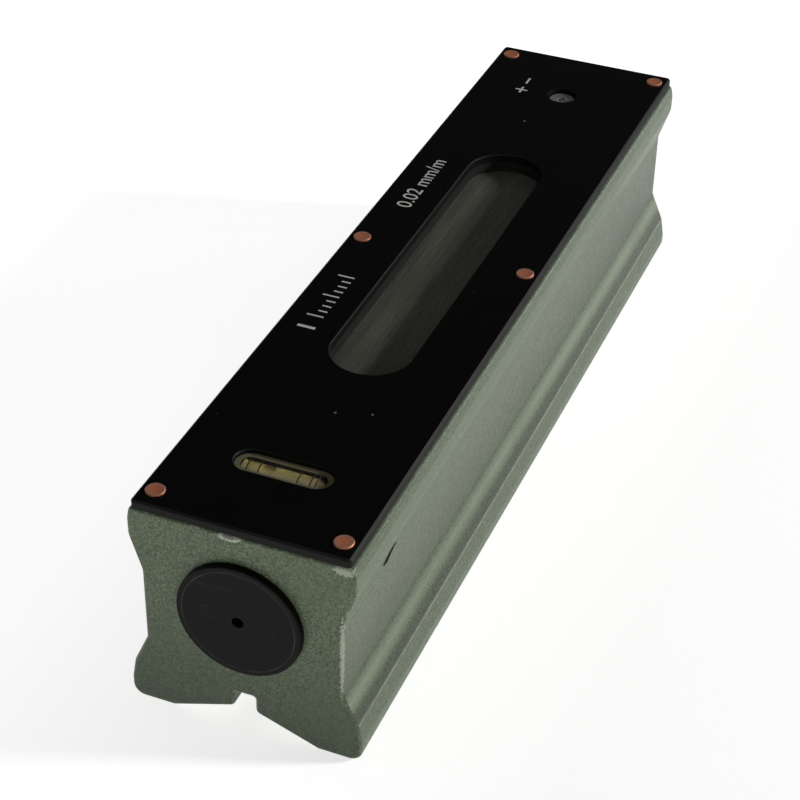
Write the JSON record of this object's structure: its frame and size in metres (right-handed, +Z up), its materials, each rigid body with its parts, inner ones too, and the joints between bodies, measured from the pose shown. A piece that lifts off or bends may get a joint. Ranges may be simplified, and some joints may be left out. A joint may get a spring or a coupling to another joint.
{
  "type": "precision bar level",
  "caption": "Waisted metal bar level with a V-grooved base, a black cover plate with a long window over the main vial, a small cross vial, round end caps and a vial adjusting screw.",
  "frame": {"origin": "middle of the base: z = 0 is the plane of the two ground base faces, x = 0 the middle of the length, y = 0 the middle of the V groove", "axes": "+X along the level from the cross vial's end to the adjusting screw's end, +Y across it to the rear side, +Z up"},
  "size_m": [0.203, 0.048, 0.049],
  "materials": {
    "sage_enamel": "sage green hammered enamel on cast iron, ground bare on the base",
    "black_plate": "gloss black lacquer",
    "copper": "bright copper, slightly tarnished in the dish",
    "pane_glass": "clear, with light dust",
    "black_moulding": "semi-gloss black, lightly scratched",
    "cross_vial_glass": "clear",
    "cross_vial_spirit": "clear olive yellow liquid",
    "cement": "matt plaster",
    "screw_steel": "oiled steel",
    "carrier_brass": "turned brass",
    "pin_steel": "ground steel",
    "main_vial_glass": "clear",
    "main_vial_spirit": "clear yellow green liquid",
    "washer_brass": "turned brass",
    "spring_steel": "drawn wire"
  },
  "bodies": {
    "base": {"level_casting": "sage_enamel", "cover_plate": "black_plate", "cover_studs": "copper", "window_pane": "pane_glass", "near_end_cap": "black_moulding", "far_end_cap": "black_moulding", "cross_vial_glass": "cross_vial_glass", "cross_vial_liquid": "cross_vial_spirit", "cross_vial_bedding": "cement", "front_pivot_screw": "screw_steel", "rear_pivot_screw": "screw_steel", "thrust_washer": "washer_brass"},
    "carrier": {"carrier_tube": "carrier_brass", "near_pivot_plug": "carrier_brass", "far_lug_plug": "carrier_brass", "carrier_pins": "pin_steel", "main_vial_glass": "main_vial_glass", "main_vial_liquid": "main_vial_spirit", "near_vial_bedding": "cement", "far_vial_bedding": "cement", "adjusting_spring": "spring_steel"},
    "adjuster": {"adjusting_screw": "screw_steel"}
  },
  "joints": [
    {"name": "adjusting_screw_turn", "type": "hinge", "parent": "base", "child": "adjuster", "pos_m": [0.08, 0, 0.0459], "axis": [0, 0, 1], "range_deg": [-180, 180]},
    {"name": "carrier_tilt", "type": "hinge", "parent": "base", "child": "carrier", "pos_m": [-0.0795, 0, 0.0343], "axis": [0, 1, 0], "range_deg": [-0.0897, 0.0897]}
  ],
  "couplings": [
    {"joint": "adjusting_screw_turn", "follows": "carrier_tilt", "ratio": 2004.3}
  ]
}
